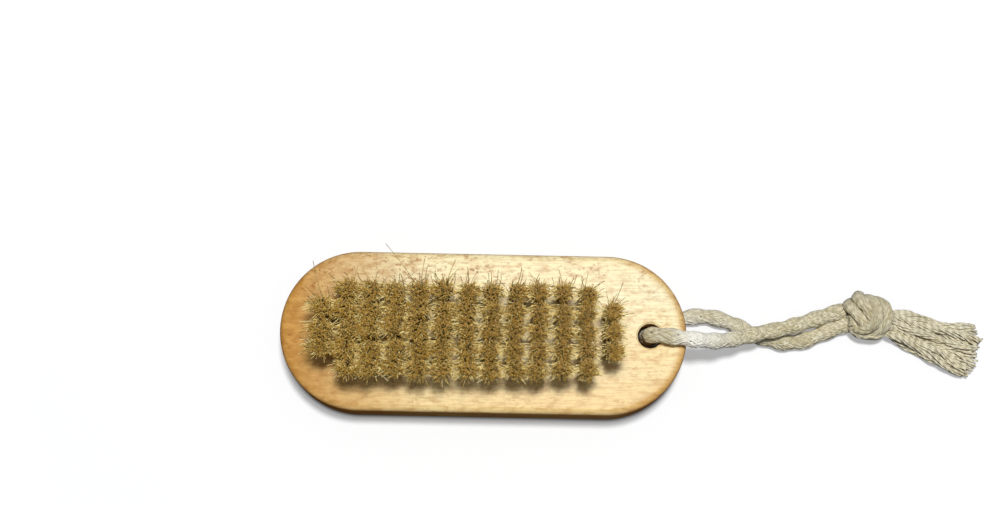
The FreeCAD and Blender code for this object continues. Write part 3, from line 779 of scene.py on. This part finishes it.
def doubled(line):
    """The two cords of a band, beside each other on the knot's surface."""
    outwards = line - MM * KNOT_MIDDLE
    beside = np.cross(directions(line), outwards)
    beside /= np.linalg.norm(beside, axis=1, keepdims=True)
    return line + KNOT_PAIR_GAP / 2 * beside, line - KNOT_PAIR_GAP / 2 * beside


def make_knot():
    yarns = []
    for band in KNOT_BANDS:
        for line in doubled(smooth_line("band", knot_place(band))):
            yarns += braid(line, KNOT_GIRTH, KNOT_RINGS)
    for core in KNOT_CORE:
        yarns += braid(smooth_line("core", knot_place(core)), KNOT_GIRTH, KNOT_RINGS)
    return add_yarns("knot", yarns, YARN_RADIUS, "cord_knot")


# Frayed tails, fanning out behind the knot, with their points and wave lengths in millimetres

TAIL_A = [
    (95.0, 4.6, 3.2), (98.5, 3.3, 2.6), (103.0, 0.9, 2.0), (108.0, -1.6, 1.9), (113.0, -3.6, 1.9),
    (117.4, -5.0, 1.9),
]
TAIL_B = [
    (95.0, 6.8, 4.2), (98.5, 6.4, 3.6), (103.5, 5.0, 2.6), (109.0, 3.5, 2.0), (114.0, 1.9, 1.9),
    (119.2, 0.9, 1.9),
]
TAIL_STRANDS = 8
YARNS_PER_TAIL_STRAND = 9
TAIL_RINGS = 44
TAIL_YARN_RADIUS = 0.24 * MM
TAIL_START_HALF_WIDTH = 1.1 * MM
TAIL_END_HALF_WIDTH = 3.0 * MM
TAIL_HALF_HEIGHT = 1.3 * MM
TAIL_WEAVE = 0.5 * MM
TAIL_WEAVE_LENGTHS = (10, 18)
TAIL_WEAVE_LOSS = 0.5
TAIL_STRAND_HALF_WIDTH = 0.68 * MM
TAIL_STRAND_GAIN = 0.4
TAIL_STRAND_TURN = 16 * MM
TAIL_STRAY = 0.45 * MM
TAIL_STRAY_POWER = 3
TAIL_UNEVEN = 0.055
TAIL_YARN_UNEVEN = 0.4 * TAIL_UNEVEN
TAIL_DARKEST = 0.1


def frayed_tail(name, node, route):
    """Loose strands of twisted yarn that weave past each other and fray towards their cut ends."""
    line, travelled = even_steps(smooth_line(name, route), TAIL_RINGS)
    side, rise = steady_frames(line)
    share = travelled / travelled[-1]
    fan = TAIL_END_HALF_WIDTH - TAIL_START_HALF_WIDTH
    width = TAIL_START_HALF_WIDTH + fan * np.sin(share * math.pi / 2)
    weave = TAIL_WEAVE * (1 - TAIL_WEAVE_LOSS * share)
    spread = TAIL_STRAND_HALF_WIDTH * (1 + TAIL_STRAND_GAIN * share ** 2)
    loose = share ** TAIL_STRAY_POWER
    yarns = []
    for across, up in scatter(TAIL_STRANDS):
        weave_aside = waves(travelled, MM * random.uniform(*TAIL_WEAVE_LENGTHS), weave)
        weave_up = waves(travelled, MM * random.uniform(*TAIL_WEAVE_LENGTHS), weave)
        strand_aside = width * across + weave_aside
        strand_lift = TAIL_HALF_HEIGHT * up + weave_up
        strand_cut = 1 - abs(random.normal(0, TAIL_UNEVEN))
        hand = random.choice((-1, 1))
        turn = hand * FULL_TURN * travelled / TAIL_STRAND_TURN
        for spot in scatter(YARNS_PER_TAIL_STRAND):
            stray = random.normal(0, TAIL_STRAY, 2)
            twist_aside = spread * (spot[0] * np.cos(turn) - spot[1] * np.sin(turn))
            twist_lift = spread * (spot[0] * np.sin(turn) + spot[1] * np.cos(turn))
            aside = strand_aside + twist_aside + stray[0] * loose
            lift = strand_lift + twist_lift + stray[1] * loose
            yarn = line + aside[:, None] * side + lift[:, None] * rise
            cut = strand_cut - abs(random.normal(0, TAIL_YARN_UNEVEN))
            yarns.append(even_steps(yarn[:round(cut * TAIL_RINGS)], TAIL_RINGS)[0])
    return add_yarns(name, yarns, TAIL_YARN_RADIUS, node, TAIL_DARKEST)


# Build


def dress(node, material):
    """Gives a CAD node that stays in view its material."""
    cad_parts[node].data.materials.clear()
    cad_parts[node].data.materials.append(material)


make_camera()
dress("block", WOOD)
dress("field_anchors", ANCHOR)
dress("nail_row_anchors", ANCHOR)
columns = sorted(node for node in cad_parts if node.startswith("bristle_column_"))
for number, node in enumerate(columns):
    bristle_column(node, number, number / (len(columns) - 1))
nail_row()
upper_leg, upper_line = cord_leg("upper_leg", "cord_upper_leg", UPPER_ROUTE)
lower_leg, lower_line = cord_leg("lower_leg", "cord_lower_leg", LOWER_ROUTE)
knot = make_knot()
tail_a = frayed_tail("tail_a", "cord_tail_a", TAIL_A)
tail_b = frayed_tail("tail_b", "cord_tail_b", TAIL_B)

# Floor and light, in metres

FLOOR_REACH = 3.0
FLOOR_CORNERS = [(-1, -1), (1, -1), (1, 1), (-1, 1)]
PAPER_SEEN = srgb(218, 218, 218)
PAPER_THROWN_BACK = srgb(74, 74, 76)
FLOOR_GLOW = 0.34
# The floor's glow is held off under the block and within 0.8 mm of its outline: a painted contact shadow.
CONTACT_SHADOW_GLOW_SPAN = (0.0, -0.8 * MM, 0.0, FLOOR_GLOW)
GLOW_BEYOND_SPAN = (-60 * MM, -300 * MM, 0.0, 1 - FLOOR_GLOW)
LAMP_PLACE = (0.035, 0.125, 1.0)
LAMP_AIM = (0.02, 0, 0)
LAMP_SIZE = 0.14
LAMP_POWER = 8.2
STUDIO_COLOUR = (0.95, 0.97, 1.0, 1)
STUDIO_STRENGTH = 0.17


def make_floor():
    """White paper: what it throws back on the object is greyer than what the camera sees of it."""
    mesh = bpy.data.meshes.new("floor")
    corners = [(FLOOR_REACH * x, FLOOR_REACH * y, 0) for x, y in FLOOR_CORNERS]
    mesh.from_pydata(corners, [], [range(len(corners))])
    floor = bpy.data.objects.new("floor", mesh)
    bpy.context.scene.collection.objects.link(floor)
    paper = Nodes("white_paper")
    rays = paper.add("ShaderNodeLightPath").outputs
    mirrored = paper.plus(rays["Is Glossy Ray"], rays["Is Transmission Ray"])
    seen = paper.plus(rays["Is Camera Ray"], mirrored, True)
    inside = paper.from_rim()
    # No glow under the block and little right beside it, so the floor stays darker there: a painted contact
    # shadow.
    glow = paper.plus(paper.span(inside, *CONTACT_SHADOW_GLOW_SPAN), paper.span(inside, *GLOW_BEYOND_SPAN))
    paper.finish(
        Base_Color=paper.mix(seen, PAPER_THROWN_BACK, PAPER_SEEN),
        Roughness=0.9,
        Specular_IOR_Level=0.0,
        Emission_Color=(1, 1, 1, 1),
        Emission_Strength=paper.times(seen, glow),
    )
    mesh.materials.append(paper.material)


def make_lamp():
    data = bpy.data.lights.new("key", "AREA")
    data.shape = "DISK"
    data.size = LAMP_SIZE
    data.energy = LAMP_POWER
    lamp = bpy.data.objects.new("key", data)
    lamp.location = LAMP_PLACE
    lamp.rotation_euler = (Vector(LAMP_AIM) - Vector(LAMP_PLACE)).to_track_quat("-Z", "Y").to_euler()
    bpy.context.scene.collection.objects.link(lamp)


def make_world():
    world = bpy.data.worlds.new("studio")
    world.use_nodes = True
    background = world.node_tree.nodes["Background"]
    background.inputs["Color"].default_value = STUDIO_COLOUR
    background.inputs["Strength"].default_value = STUDIO_STRENGTH
    bpy.context.scene.world = world


make_floor()
make_world()
make_lamp()
bpy.context.scene.view_settings.view_transform = "Standard"
